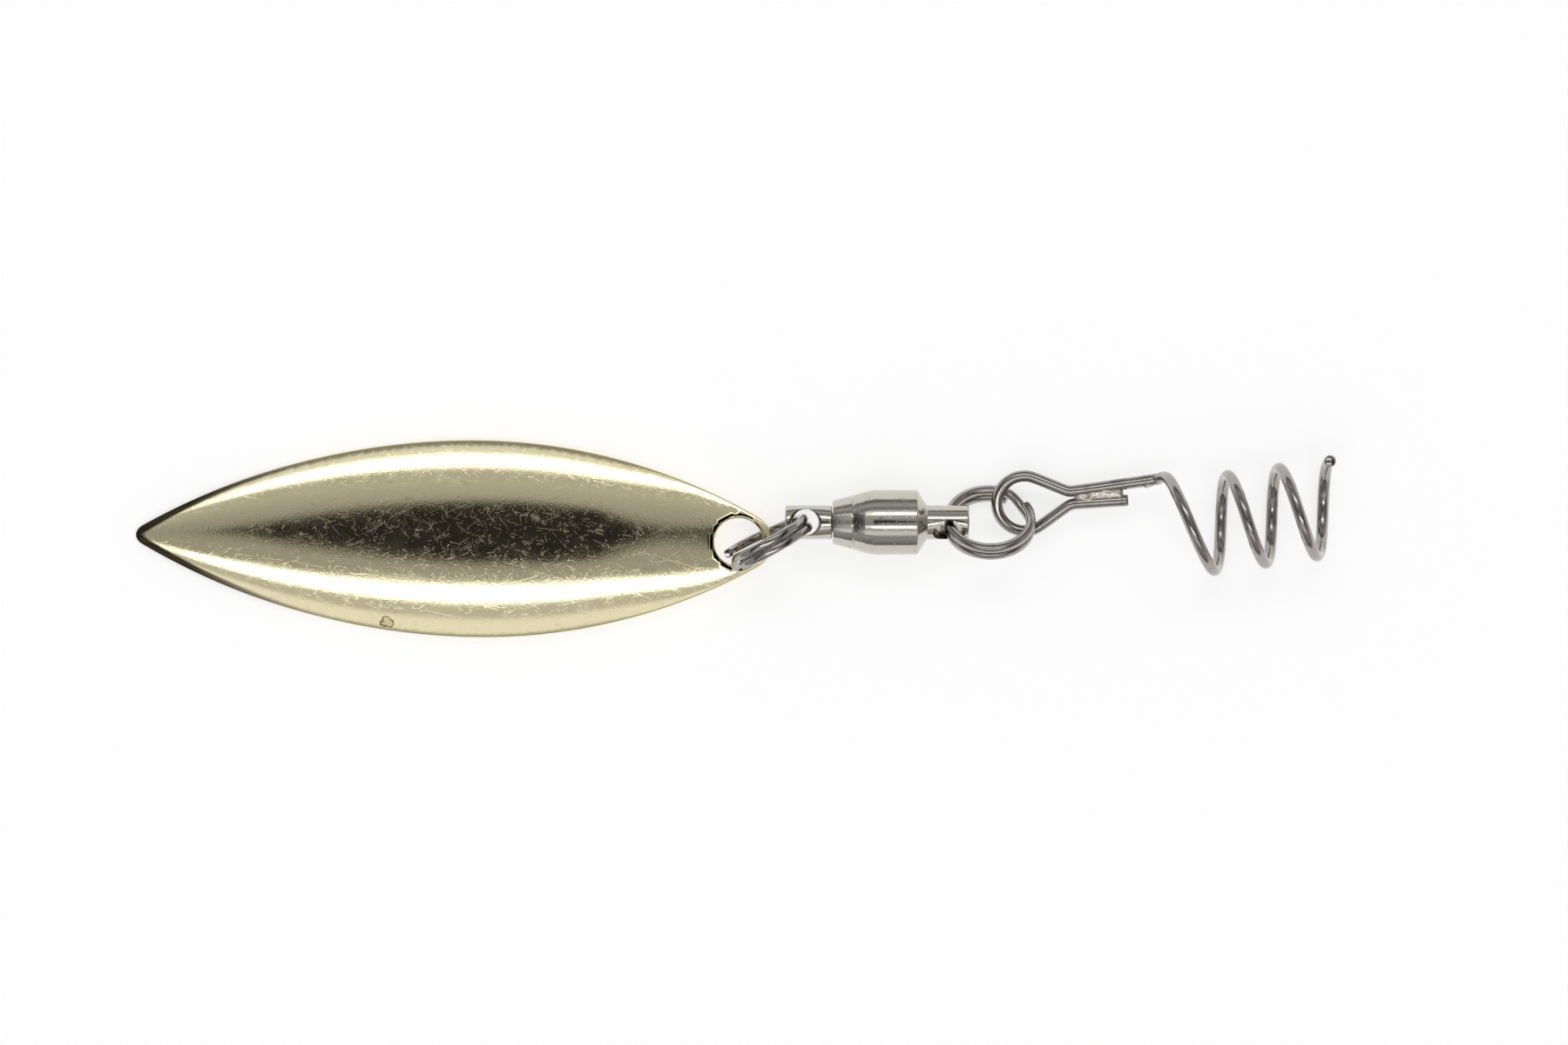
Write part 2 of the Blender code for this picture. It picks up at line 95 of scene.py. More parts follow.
# Split rings
RING_OUTER_RADIUS = 3.50 * MM
RING_WIRE_WIDTH = 0.70 * MM
RING_WIRE_HEIGHT = 0.66 * MM
RING_COIL_GAP = 0.04 * MM
RING_WIRE_CORNER = 0.24 * MM
RING_STEP_ANGLE = math.radians(35)
RING_MEAN_RADIUS = RING_OUTER_RADIUS - RING_WIRE_WIDTH / 2
RING_STEP = RING_WIRE_HEIGHT + RING_COIL_GAP
FRONT_RING_SPREAD = 0.45 * MM
FRONT_RING_END = math.pi
REAR_RING_END = math.radians(-29)
RING_STATIONS = 420

# Swivel
EYE_RADIUS = 1.30 * MM
EYE_HOLE_RADIUS = 0.98 * MM
EYE_FLARE_RADIUS = 1.24 * MM
EYE_HOLE_TO_END = 1.54 * MM
EYE_EDGE = 0.14 * MM
CAP_FRONT_AT = -1.54 * MM
CAP_FRONT_RADIUS = 1.67 * MM
SEAM_RADIUS = 2.07 * MM
SEAM_GAP = 0.05 * MM
SEAM_EDGE = 0.04 * MM
SPIGOT_CLEARANCE = 0.03 * MM
BODY_RADIUS = 2.49 * MM
BODY_SHOULDER_AT = 4.94 * MM
BODY_NECK_AT = 5.68 * MM
BORE_RADIUS = 1.75 * MM
BORE_DEPTH = 3.30 * MM
SHAFT_RADIUS = 0.75 * MM
SHAFT_CLEARANCE = 0.05 * MM
CAP_SPIGOT_LENGTH = 0.60 * MM
COLLAR_RADIUS = 1.60 * MM
COLLAR_LENGTH = 0.80 * MM
COLLAR_EDGE = 0.06 * MM
COLLAR_CLEARANCE = 0.02 * MM
BALL_RADIUS = 0.40 * MM
BALL_CLEARANCE = 0.02 * MM
RIVET_RADIUS = 1.05 * MM
RIVET_LENGTH = 0.30 * MM

# Corkscrew wire
WIRE_RADIUS = 0.445 * MM
COIL_RADIUS = 3.53 * MM
COIL_PITCH = 3.95 * MM
COIL_START = 0.45 * MM
COIL_LEAD_IN = 0.75 * MM
COIL_END_ANGLE = math.radians(3 * 360 + 12)
SHANK_OFFSET = 4.07 * MM
SHANK_BEND_RADIUS = 0.90 * MM
NECK_AT = -6.95 * MM
NECK_BEND_RADIUS = 1.60 * MM
EYE_LOOP_CENTRE = (-10.41 * MM, 3.65 * MM)
EYE_LOOP_RADIUS = 2.13 * MM
TAIL_NECK_SPACING = 0.96 * MM
TAIL_END = (-2.50 * MM, 2.78 * MM)
EYE_TWIST = math.radians(20)
SCREW_ORIGIN = Vector((33.10, 0.624, 3.69)) * MM
SCREW_YAW = math.radians(8)
SCREW_PITCH = math.radians(-4)
SCREW_ROLL = math.radians(-12)

# Camera and light
CAMERA_OVER = Vector((3.91, 1.25, 450.0)) * MM
CAMERA_LENS = 133.9
FLOOR_SIDE = 4.0
BOARD_GLOW = 0.62
FILL_WATTS = 1.6
FILL_SIDE = 1.4
FILL_HEIGHT = 1.2


# ---------------------------------------------------------------- materials


class Finish:
    """A Principled material and short calls that add nodes to it."""

    def __init__(self, name, colour, roughness, metallic=1.0):
        self.material = bpy.data.materials.new(name)
        self.material.use_nodes = True
        self.tree = self.material.node_tree
        self.shader = self.tree.nodes["Principled BSDF"]
        self.shader.inputs["Base Color"].default_value = (*colour, 1.0)
        self.shader.inputs["Roughness"].default_value = roughness
        self.shader.inputs["Metallic"].default_value = metallic
        self.place = self.add("ShaderNodeTexCoord").outputs["Object"]

    def add(self, kind, **settings):
        """A node with these settings."""
        node = self.tree.nodes.new(kind)
        for key, value in settings.items():
            setattr(node, key, value)
        return node

    def wire(self, source, target):
        """Links a socket, or writes a plain number."""
        if isinstance(source, (int, float)):
            target.default_value = source
        else:
            self.tree.links.new(source, target)

    def math(self, operation, a, b=0.0):
        """The result of a Math node."""
        node = self.add("ShaderNodeMath", operation=operation)
        self.wire(a, node.inputs[0])
        self.wire(b, node.inputs[1])
        return node.outputs[0]

    def spread(self, value, low, high, to_low=0.0, to_high=1.0):
        """value mapped smoothly from low..high to another range, and held at its ends."""
        node = self.add("ShaderNodeMapRange", interpolation_type="SMOOTHSTEP")
        self.wire(value, node.inputs["Value"])
        node.inputs["From Min"].default_value = low
        node.inputs["From Max"].default_value = high
        node.inputs["To Min"].default_value = to_low
        node.inputs["To Max"].default_value = to_high
        return node.outputs[0]

    def mapped(self, per_mm, turn=0.0, offset=0.0):
        """Places scaled by per_mm for each millimetre, turned about Z first."""
        turned_place = self.add("ShaderNodeMapping", vector_type="POINT")
        turned_place.inputs["Rotation"].default_value = (0, 0, turn)
        turned_place.inputs["Location"].default_value = (offset * MM,) * 3
        self.wire(self.place, turned_place.inputs["Vector"])
        scaled = self.add("ShaderNodeMapping", vector_type="POINT")
        scaled.inputs["Scale"].default_value = [s / MM for s in per_mm]
        self.wire(turned_place.outputs[0], scaled.inputs["Vector"])
        return scaled.outputs[0]

    def noise(self, per_mm, detail=3.0, turn=0.0, offset=0.0):
        """Noise from 0 to 1, per_mm features for each millimetre on each axis."""
        node = self.add("ShaderNodeTexNoise")
        node.inputs["Scale"].default_value = 1.0
        node.inputs["Detail"].default_value = detail
        self.wire(self.mapped(per_mm, turn, offset), node.inputs["Vector"])
        return node.outputs["Fac"]

    def hairlines(self, per_mm, turn, thin, offset, kept=0.56):
        """Thin broken scratches: the level lines of stretched noise, where a second noise keeps them."""
        level = self.noise(per_mm, 1.0, turn, offset)
        away = self.math("ABSOLUTE", self.math("SUBTRACT", level, 0.5))
        line = self.spread(away, 0.3 * thin, thin, 1.0, 0.0)
        gate = self.noise([1.1, 1.1, 1.1], 2.0, turn, offset + 37)
        return self.math("MULTIPLY", line, self.spread(gate, kept, kept + 0.05))

    def total(self, parts):
        """The sum of several values, held at 1."""
        result = parts[0]
        for part in parts[1:]:
            result = self.math("ADD", result, part)
        return self.math("MINIMUM", result, 1.0)

    def tinted(self, base, other, share):
        """The base colour mixed with another where share is high."""
        node = self.add("ShaderNodeMix", data_type="RGBA")
        if isinstance(base, tuple):
            node.inputs["A"].default_value = (*base, 1.0)
        else:
            self.tree.links.new(base, node.inputs["A"])
        node.inputs["B"].default_value = (*other, 1.0)
        self.wire(share, node.inputs["Factor"])
        return node.outputs["Result"]

    def rough(self, value):
        """Sets the roughness."""
        self.wire(value, self.shader.inputs["Roughness"])

    def colour(self, value):
        """Sets the base colour."""
        self.wire(value, self.shader.inputs["Base Color"])

    def bump(self, height, depth_mm):
        """Height from 0 to 1 as relief of depth_mm."""
        node = self.add("ShaderNodeBump")
        node.inputs["Strength"].default_value = 1.0
        node.inputs["Distance"].default_value = depth_mm * MM
        self.wire(height, node.inputs["Height"])
        self.tree.links.new(node.outputs[0], self.shader.inputs["Normal"])


GOLD = (0.84, 0.76, 0.50)
GOLD_STAIN = (0.50, 0.40, 0.20)
BARE_BRASS = (0.62, 0.52, 0.28)
PAINTED_RIM_REFLECTION = (0.05, 0.04, 0.02)
# Painted dark reflection: the colour painted on the tip's rim in place of the dark room that the edge
# mirrors.
SPOT_OUTLINE = (0.16, 0.10, 0.03)
NICKEL = (0.57, 0.55, 0.48)
RING_STEEL = (0.40, 0.38, 0.36)
SCREW_STEEL = (0.38, 0.36, 0.34)
BALL_STEEL = (0.65, 0.65, 0.66)
SOLDER = (0.80, 0.77, 0.68)
FLUX = (0.46, 0.41, 0.30)
BOARD = (0.60, 0.60, 0.60)
SPOT_AT = Vector((-26.64, -6.37, 1.0)) * MM
SPOT_RADIUS = 0.50 * MM


def gold_finish(name):
    """Polished gold plate with fine scratches all ways, stains, a painted dark reflection along the tip's
    rim and one lifted spot.
    """
    finish = Finish(name, GOLD, 0.08)
    lines = []
    for i in range(10):
        turn = math.radians(7 + 18 * i)
        lines.append(finish.hairlines([0.40, 2.6, 1.6], turn, 0.012, 11 * i, 0.60))
    for i in range(3):
        turn = math.radians(-20 + 35 * i)
        lines.append(finish.hairlines([0.06, 0.5, 0.4], turn, 0.004, 53 + 7 * i, 0.52))
    scratches = finish.total(lines)
    pits = finish.spread(finish.noise([5, 5, 5], 2.0), 0.72, 0.76)
    grain = finish.noise([8, 8, 8], 4.0, offset=5)
    haze = finish.noise([0.5, 0.9, 0.9], 4.0, offset=19)
    dull = finish.spread(haze, 0.35, 0.7, 0.05, 0.10)
    finish.rough(finish.math("ADD", dull, finish.math("MULTIPLY", scratches, 0.14)))
    stain = finish.spread(finish.noise([0.9, 2.4, 2.4], 4.0, offset=3), 0.62, 0.78, 0.0, 0.30)
    worn = finish.tinted(GOLD, GOLD_STAIN, stain)
    ring, inside = lifted_spot(finish)
    worn = finish.tinted(worn, BARE_BRASS, finish.math("MULTIPLY", inside, 0.8))
    # Paints the dark reflection along the tip's rim and at its point.
    worn = finish.tinted(worn, PAINTED_RIM_REFLECTION, painted_rim_reflection_mask(finish))
    finish.colour(finish.tinted(worn, SPOT_OUTLINE, ring))
    cuts = finish.math("MULTIPLY", scratches, -0.18)
    relief = finish.math("ADD", cuts, finish.math("MULTIPLY", grain, 0.6))
    relief = finish.math("SUBTRACT", relief, finish.math("MULTIPLY", ring, 1.5))
    finish.bump(finish.math("ADD", relief, finish.math("MULTIPLY", pits, -0.8)), 0.005)
    return finish.material


def painted_rim_reflection_mask(finish):
    """High on the narrow rim at the blade's tip and at its point, where a dark reflection of the room is
    painted.
    """
    arc_radius = (BLADE_TIP_REACH**2 + BLADE_HALF_WIDTH**2) / (2 * BLADE_HALF_WIDTH)
    split = finish.add("ShaderNodeSeparateXYZ")
    finish.wire(finish.place, split.inputs[0])
    x = finish.math("SUBTRACT", split.outputs["X"], BLADE_WIDEST.x)
    straight = finish.math("SUBTRACT", split.outputs["Y"], finish.math("MULTIPLY", x, math.tan(BLADE_YAW)))
    y = finish.math("ADD", finish.math("ABSOLUTE", straight), arc_radius - BLADE_HALF_WIDTH)
    squares = finish.math("ADD", finish.math("MULTIPLY", x, x), finish.math("MULTIPLY", y, y))
    inward = finish.math("SUBTRACT", arc_radius, finish.math("SQRT", squares))
    rim = finish.spread(inward, 0.14 * MM, 0.34 * MM, 1.0, 0.0)
    tip = finish.spread(x, -0.86 * BLADE_TIP_REACH, -0.40 * BLADE_TIP_REACH, 1.0, 0.0)
    point = finish.spread(x, 0.45 * MM - BLADE_TIP_REACH, 0.95 * MM - BLADE_TIP_REACH, 0.9, 0.0)
    return finish.math("MAXIMUM", finish.math("MULTIPLY", rim, tip), point)


def lifted_spot(finish):
    """The one place where the plating has lifted: its brown outline, and its inside."""
    away = finish.add("ShaderNodeVectorMath", operation="DISTANCE")
    finish.wire(finish.place, away.inputs[0])
    away.inputs[1].default_value = SPOT_AT
    uneven = finish.math("SUBTRACT", finish.noise([2.2, 2.2, 2.2], 3.0, offset=2), 0.5)
    ragged = finish.math("MULTIPLY", uneven, 0.75 * MM)
    reach = finish.math("DIVIDE", finish.math("ADD", away.outputs["Value"], ragged), SPOT_RADIUS)
    inside = finish.spread(reach, 0.80, 0.95, 1.0, 0.0)
    off_edge = finish.math("ABSOLUTE", finish.math("SUBTRACT", reach, 0.95))
    outline = finish.spread(off_edge, 0.06, 0.22, 0.85, 0.0)
    return outline, inside


def darker(colour, share):
    """The colour, with each channel at this share."""
    return tuple(share * c for c in colour)


def turned_finish(name, colour, roughness):
    """Plated metal off a lathe: rings round X, small dents and dull patches."""
    finish = Finish(name, colour, roughness)
    rings = finish.noise([16, 0.4, 0.4], 3.0)
    dents = finish.spread(finish.noise([3.2, 3.2, 3.2], 2.0, offset=9), 0.66, 0.74)
    wear = finish.noise([1.1, 1.6, 1.6], 4.0, offset=21)
    turns = [math.radians(30 + 50 * i) for i in range(4)]
    lines = finish.total([finish.hairlines([0.3, 1.8, 1.2], turn, 0.02, 9 * turn) for turn in turns])
    dull = finish.spread(wear, 0.35, 0.7, roughness, roughness + 0.08)
    finish.rough(finish.math("ADD", dull, finish.math("MULTIPLY", lines, 0.15)))
    worn = finish.spread(wear, 0.60, 0.74, 0.0, 0.5)
    finish.colour(finish.tinted(colour, darker(colour, 0.55), worn))
    marks = finish.math("MULTIPLY", rings, 0.25)
    relief = finish.math("SUBTRACT", marks, finish.math("MULTIPLY", dents, 0.9))
    finish.bump(finish.math("SUBTRACT", relief, finish.math("MULTIPLY", lines, 0.4)), 0.005)
    return finish.material


def drawn_finish(name, colour, roughness, streak):
    """Drawn wire: streaks, small nicks and darker patches. streak is the features for each millimetre."""
    finish = Finish(name, colour, roughness)
    streaks = finish.noise(streak, 3.0)
    nicks = finish.spread(finish.noise([5, 5, 5], 2.0, offset=4), 0.68, 0.76)
    patches = finish.noise([0.9, 0.9, 0.9], 4.0, offset=13)
    finish.rough(finish.spread(patches, 0.3, 0.7, roughness, roughness + 0.10))
    patch = finish.spread(patches, 0.54, 0.72, 0.0, 0.7)
    finish.colour(finish.tinted(colour, darker(colour, 0.5), patch))
    finish.bump(finish.math("SUBTRACT", finish.math("MULTIPLY", streaks, 0.5), nicks), 0.003)
    return finish.material


def steel_finish(name):
    """Polished bearing steel."""
    finish = Finish(name, BALL_STEEL, 0.1)
    finish.rough(finish.spread(finish.noise([4, 4, 4], 3.0), 0.3, 0.7, 0.06, 0.16))
    finish.bump(finish.noise([14, 14, 14], 2.0), 0.002)
    return finish.material


def solder_finish(name):
    """Dull, lumpy solder with flux stains."""
    finish = Finish(name, SOLDER, 0.28)
    lumps = finish.noise([3.5, 3.5, 3.5], 4.0)
    finish.rough(finish.spread(lumps, 0.3, 0.7, 0.16, 0.4))
    flux = finish.spread(finish.noise([2, 2, 2], 4.0, offset=8), 0.5, 0.7)
    finish.colour(finish.tinted(SOLDER, FLUX, flux))
    finish.bump(lumps, 0.05)
    return finish.material


def floor_finish():
    """A smooth white board that glows a little, as a lit table does."""
    finish = Finish("white_board", BOARD, 0.6, 0.0)
    finish.shader.inputs["Specular IOR Level"].default_value = 0.1
    finish.shader.inputs["Emission Color"].default_value = (1.0, 1.0, 1.0, 1.0)
    finish.shader.inputs["Emission Strength"].default_value = BOARD_GLOW
    finish.bump(finish.noise([0.8, 0.8, 0.8], 3.0), 0.004)
    return finish.material


# ---------------------------------------------------------------- mesh helpers


def place_piece(name, mesh, finish, body, nodes, local=None, smooth_deg=40):
    """Puts a mesh in the scene, riding on a CAD body in place of these CAD nodes."""
    if local:
        mesh.transform(local)
    mesh.materials.clear()
    mesh.materials.append(finish)
    mesh.shade_smooth()
    mesh.set_sharp_from_angle(angle=math.radians(smooth_deg))
    piece = bpy.data.objects.new(name, mesh)
    bpy.context.scene.collection.objects.link(piece)
    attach(piece, body)
    if nodes:
        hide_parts(*nodes)
    return piece


def mesh_from(bm, name):
    """Turns a bmesh into a mesh with its faces pointing out."""
    bmesh.ops.recalc_face_normals(bm, faces=bm.faces)
    mesh = bpy.data.meshes.new(name)
    bm.to_mesh(mesh)
    bm.free()
    return mesh


def axes_at(origin, x_axis, y_axis):
    """The matrix of a frame whose X and Y axes are the given directions."""
    x_axis = x_axis.normalized()
    z_axis = x_axis.cross(y_axis).normalized()
    y_axis = z_axis.cross(x_axis)
    return Matrix.Translation(origin) @ Matrix((x_axis, y_axis, z_axis)).transposed().to_4x4()


def lofted(bm, rows):
    """Joins rows of points with faces, each row closed on itself, and returns the rows of vertices."""
    made = [[bm.verts.new(p) for p in row] for row in rows]
    for row, following in zip(made, made[1:]):
        count = len(row)
        for j in range(count):
            k = (j + 1) % count
            bm.faces.new((row[j], row[k], following[k], following[j]))
    return made


def capped(name, rows):
    """A mesh through these rows of points, closed by a face at each end."""
    bm = bmesh.new()
    made = lofted(bm, rows)
    bm.faces.new(made[0])
    bm.faces.new(made[-1])
    return mesh_from(bm, name)


def weld(bm, distance):
    """Merges the points that coincide and removes those with no face."""
    bmesh.ops.remove_doubles(bm, verts=bm.verts, dist=distance)
    loose = [v for v in bm.verts if not v.link_faces]
    bmesh.ops.delete(bm, geom=loose, context="VERTS")


def smoothstep(t):
    """0 to 1, with no slope at either end."""
    t = min(1.0, max(0.0, t))
    return t * t * (3 - 2 * t)


def softened(profile, steps=5):
    """An outline of (x, radius, rounding) corners with each corner rounded."""
    result = []
    for i, (x, r, soft) in enumerate(profile):
        corner = Vector((x, r))
        if not soft:
            result.append((x, r))
            continue
        before = Vector(profile[i - 1][:2])
        after = Vector(profile[(i + 1) % len(profile)][:2])
        back = (before - corner).normalized()
        on = (after - corner).normalized()
        half = max(0.05, back.angle(on) / 2)
        reach = min(soft / math.tan(half), 0.45 * (before - corner).length, 0.45 * (after - corner).length)
        for k in range(steps + 1):
            share = k / steps
            a = corner + back * reach * (1 - share)
            b = corner + on * reach * share
            result.append(tuple(a.lerp(b, share)))
    return result


def turned(name, profile, steps=144):
    """A mesh turned about X from a closed outline of (x, radius) points."""
    bm = bmesh.new()
    rows = []
    for i in range(steps):
        turn = 2 * math.pi * i / steps
        rows.append([(x, r * math.cos(turn), r * math.sin(turn)) for x, r in profile])
    made = [[bm.verts.new(p) for p in row] for row in rows]
    count = len(profile)
    for i in range(steps):
        row, following = made[i], made[(i + 1) % steps]
        for j in range(count):
            k = (j + 1) % count
            if profile[j][1] < 1e-7 and profile[k][1] < 1e-7:
                continue
            bm.faces.new((row[j], row[k], following[k], following[j]))
    weld(bm, 1e-7)
    return mesh_from(bm, name)


# ---------------------------------------------------------------- blade


def blade_end(x):
    """Reach, end rounding and edge arc radius of the half of the leaf that x is in."""
    if x < 0:
        reach, end_round = BLADE_TIP_REACH, BLADE_TIP_ROUND
    else:
        reach, end_round = BLADE_EYE_REACH, BLADE_EYE_ROUND
    side = BLADE_HALF_WIDTH - end_round
    radius = ((reach - end_round) ** 2 / side + end_round + BLADE_HALF_WIDTH) / 2
    return reach, end_round, radius


def arc_half_width(x):
    """Half width of the leaf at x, before its ends are rounded."""
    radius = blade_end(x)[2]
    return math.sqrt(radius**2 - x**2) - (radius - BLADE_HALF_WIDTH)


def dome_height(x, y):
    """Height of the blade's outer face over its rim plane, less the sheet's thickness."""
    width = arc_half_width(x)
    across = min(1.0, abs(y) / width)
    flat = 1 - CUP_FLATTENING * smoothstep((x - 0.4 * BLADE_EYE_REACH) / (0.6 * BLADE_EYE_REACH))
    section = 1 - CUP_SQUARE_SHARE * across**2 - (1 - CUP_SQUARE_SHARE) * across**4
    return BLADE_CUP * flat * width * section


def dome_normal(x, y):
    """The outer face's normal."""
    step = 0.02 * MM
    dx = (dome_height(x + step, y) - dome_height(x - step, y)) / (2 * step)
    dy = (dome_height(x, y + step) - dome_height(x, y - step)) / (2 * step)
    return Vector((-dx, -dy, 1)).normalized()


def leaf_quarter(side, inset):
    """Points from the leaf's widest place to one end, on a quarter of its edge. Side 1 is the eye's end."""
    reach, end_round, radius = blade_end(side * MM)
    drop = radius - BLADE_HALF_WIDTH
    swing = math.atan2(reach - end_round, drop)
    points = []
    for i in range(ARC_STEPS):
        turn = swing * i / ARC_STEPS
        along = math.sin(turn) * (radius - inset)
        across = math.cos(turn) * (radius - inset) - drop
        points.append(Vector((along, across)))
    nose_centre = Vector((reach - end_round, 0))
    for i in range(NOSE_STEPS + 1):
        turn = (math.pi / 2 - swing) + (swing - math.pi / 2) * i / NOSE_STEPS
        points.append(nose_centre + (end_round - inset) * Vector((math.cos(turn), math.sin(turn))))
    return points


def leaf_outline(inset):
    """Points round the leaf's edge, inset from it, one loop with both ends rounded."""
    right = leaf_quarter(1, inset)
    left = leaf_quarter(-1, inset)
    loop = list(right)
    loop += [Vector((p.x, -p.y)) for p in reversed(right[:-1])]
    loop += [Vector((-p.x, -p.y)) for p in left[1:-1]]
    loop += [Vector((-p.x, p.y)) for p in reversed(left[1:])]
    return loop


def hole_outline(inset):
    """Points round the hole's edge, inset into the sheet, so outside the hole."""
    radius = BLADE_HOLE_RADIUS + inset
    points = []
    for i in range(HOLE_STEPS):
        turn = 2 * math.pi * i / HOLE_STEPS
        points.append(Vector((BLADE_HOLE_AT + radius * math.cos(turn), radius * math.sin(turn))))
    return points


def sheet_point(p, depth):
    """The point that lies depth below the outer face, along its normal."""
    surface = Vector((p.x, p.y, BLADE_THICKNESS + dome_height(p.x, p.y)))
    return surface - dome_normal(p.x, p.y) * depth


def inner_points():
    """A staggered grid of plan points that stays clear of the rim and the hole."""
    clear = 0.6 * BLADE_GRID
    rim_clear = 1.3 * clear
    points = []
    columns = int((BLADE_TIP_REACH + BLADE_EYE_REACH) / BLADE_GRID)
    rows = int(2 * BLADE_HALF_WIDTH / BLADE_GRID) + 1
    for i in range(1, columns):
        x = -BLADE_TIP_REACH + i * BLADE_GRID
        reach, end_round, _ = blade_end(x)
        if abs(x) > reach - end_round:
            limit = math.sqrt(max(0.0, end_round**2 - (abs(x) - reach + end_round) ** 2))
        else:
            limit = arc_half_width(x)
        for j in range(rows):
            y = -BLADE_HALF_WIDTH + (j + 0.5 * (i % 2)) * BLADE_GRID
            off_rim = abs(y) < limit - BLADE_EDGE_ROUND - rim_clear
            off_hole = math.hypot(x - BLADE_HOLE_AT, y) > BLADE_HOLE_RADIUS + BLADE_EDGE_ROUND + clear
            if off_rim and off_hole:
                points.append(Vector((x, y)))
    return points


def sheet_triangles():
    """Plan points and triangles of the leaf inside its rounded edges, less the hole."""
    rim = leaf_outline(BLADE_EDGE_ROUND)
    hole = hole_outline(BLADE_EDGE_ROUND)
    points = rim + hole + inner_points()
    a, b = len(rim), len(hole)
    edges = [(i, (i + 1) % a) for i in range(a)] + [(a + i, a + (i + 1) % b) for i in range(b)]
    made, _, faces, _, _, _ = delaunay_2d_cdt([p / MM for p in points], edges, [], 1, 1e-5)
    made = [p * MM for p in made]
    kept = []
    for face in faces:
        centre = sum((made[i] for i in face), Vector((0, 0))) / len(face)
        if math.hypot(centre.x - BLADE_HOLE_AT, centre.y) > BLADE_HOLE_RADIUS + 0.5 * BLADE_EDGE_ROUND:
            kept.append(face)
    return made, kept


def edge_rows(outline_at, steps=7):
    """Rows of points over a rounded edge, from the outer face to the inner one."""
    rows = []
    for half in range(2):
        for k in range(steps + 1):
            turn = math.pi / 2 * (k / steps if half == 0 else 1 - k / steps)
            inset = BLADE_EDGE_ROUND * (1 - math.sin(turn))
            depth = BLADE_EDGE_ROUND * (1 - math.cos(turn))
            depth = depth if half == 0 else BLADE_THICKNESS - depth
            rows.append([sheet_point(p, depth) for p in outline_at(inset)])
    return rows


def build_blade(finish):
    """The leaf: two faces, a rounded rim and a rounded hole."""
    bm = bmesh.new()
    points, faces = sheet_triangles()
    for depth, flip in ((0.0, False), (BLADE_THICKNESS, True)):
        verts = [bm.verts.new(sheet_point(p, depth)) for p in points]
        for face in faces:
            corners = [verts[i] for i in face]
            bm.faces.new(corners[::-1] if flip else corners)
    for outline_at in (leaf_outline, hole_outline):
        lofted(bm, edge_rows(outline_at))
    weld(bm, 2e-6)
    mesh = mesh_from(bm, "leaf")
    along = Vector((math.cos(BLADE_YAW), math.sin(BLADE_YAW), math.sin(BLADE_LIFT)))
    origin = BLADE_WIDEST + Vector((0, 0, BLADE_TIP_REACH * math.sin(BLADE_LIFT)))
    local = axes_at(origin, along, Vector((0, 1, 0)))
    place_piece("leaf", mesh, finish, "leaf", ["blade"], local, 80)


# ---------------------------------------------------------------- split rings


def ring_section(shrink, corner_steps=4):
    """Corners of the flattened wire, rounded, as (radial, axial) offsets."""
    a = RING_WIRE_WIDTH / 2 * shrink
    b = RING_WIRE_HEIGHT / 2 * shrink
    c = RING_WIRE_CORNER * shrink
    points = []
    for quarter in range(4):
        cx = (a - c) * (1 if quarter in (0, 3) else -1)
        cy = (b - c) * (1 if quarter in (0, 1) else -1)
        for k in range(corner_steps + 1):
            turn = math.pi / 2 * (quarter + k / corner_steps)
            points.append((cx + c * math.cos(turn), cy + c * math.sin(turn)))
    return points


def build_ring(name, finish, local, first_end, body, node, spread=0.0):
    """A split ring about its frame's Z. first_end is the first wire end's angle, spread its extra gap."""
    total = 4 * math.pi - RING_STEP_ANGLE
    count = RING_STATIONS
    rows = []
    step_starts = 2 * math.pi - RING_STEP_ANGLE
    trims = {0: 0.84, 1: 0.95, count - 1: 0.95, count: 0.84}
    for i in range(count + 1):
        angle = total * i / count
        if i in (1, count - 1):
            angle = total * (0.12 if i == 1 else count - 0.12) / count
        stand_off = spread * (1 - smoothstep(angle / math.radians(150)))
        level = RING_STEP * (smoothstep((angle - step_starts) / RING_STEP_ANGLE) - 0.5) - stand_off
        turn = first_end + angle
        out = Vector((math.cos(turn), math.sin(turn), 0))
        section = ring_section(trims.get(i, 1.0))
        rows.append([out * (RING_MEAN_RADIUS + r) + Vector((0, 0, level + h)) for r, h in section])
    place_piece(name, capped(name, rows), finish, body, [node], local, 50)


# ---------------------------------------------------------------- swivel


def eye_drill(at, tilt):
    """Cutter for a cross hole with flared mouths, through an eye at station at."""
    throat = 0.35 * EYE_RADIUS
    long = 2.2 * EYE_RADIUS
    mouth = EYE_RADIUS
    outline = [(-long, 0.0)]
    stations = 16
    for i in range(stations + 1):
        x = -long + (long - throat) * i / stations
        share = max(0.0, (abs(x) - throat) / (mouth - throat))
        outline.append((x, EYE_HOLE_RADIUS + (EYE_FLARE_RADIUS - EYE_HOLE_RADIUS) * share**1.6))
    outline += [(-x, r) for x, r in reversed(outline[1:])]
    outline.append((long, 0.0))
    mesh = turned("eye_drill", outline, 96)
    tilted = Matrix.Translation((at, 0, 0)) @ Matrix.Rotation(tilt, 4, "X")
    mesh.transform(tilted @ Matrix.Rotation(math.pi / 2, 4, "Y"))
    cutter = bpy.data.objects.new("eye_drill", mesh)
    bpy.context.scene.collection.objects.link(cutter)
    return cutter


def drilled(mesh, cutter, edge=0.07 * MM):
    """The mesh less the cutter, with its hole's edges softened. The cutter is removed."""
    body = bpy.data.objects.new("blank", mesh)
    bpy.context.scene.collection.objects.link(body)
    cut = body.modifiers.new("cut", "BOOLEAN")
    cut.operation = "DIFFERENCE"
    cut.object = cutter
    soften = body.modifiers.new("soften", "BEVEL")
    soften.width = edge
    soften.segments = 3
    soften.angle_limit = math.radians(40)
    graph = bpy.context.evaluated_depsgraph_get()
    result = bpy.data.meshes.new_from_object(body.evaluated_get(graph))
    bpy.data.objects.remove(body)
    bpy.data.objects.remove(cutter)
    return result


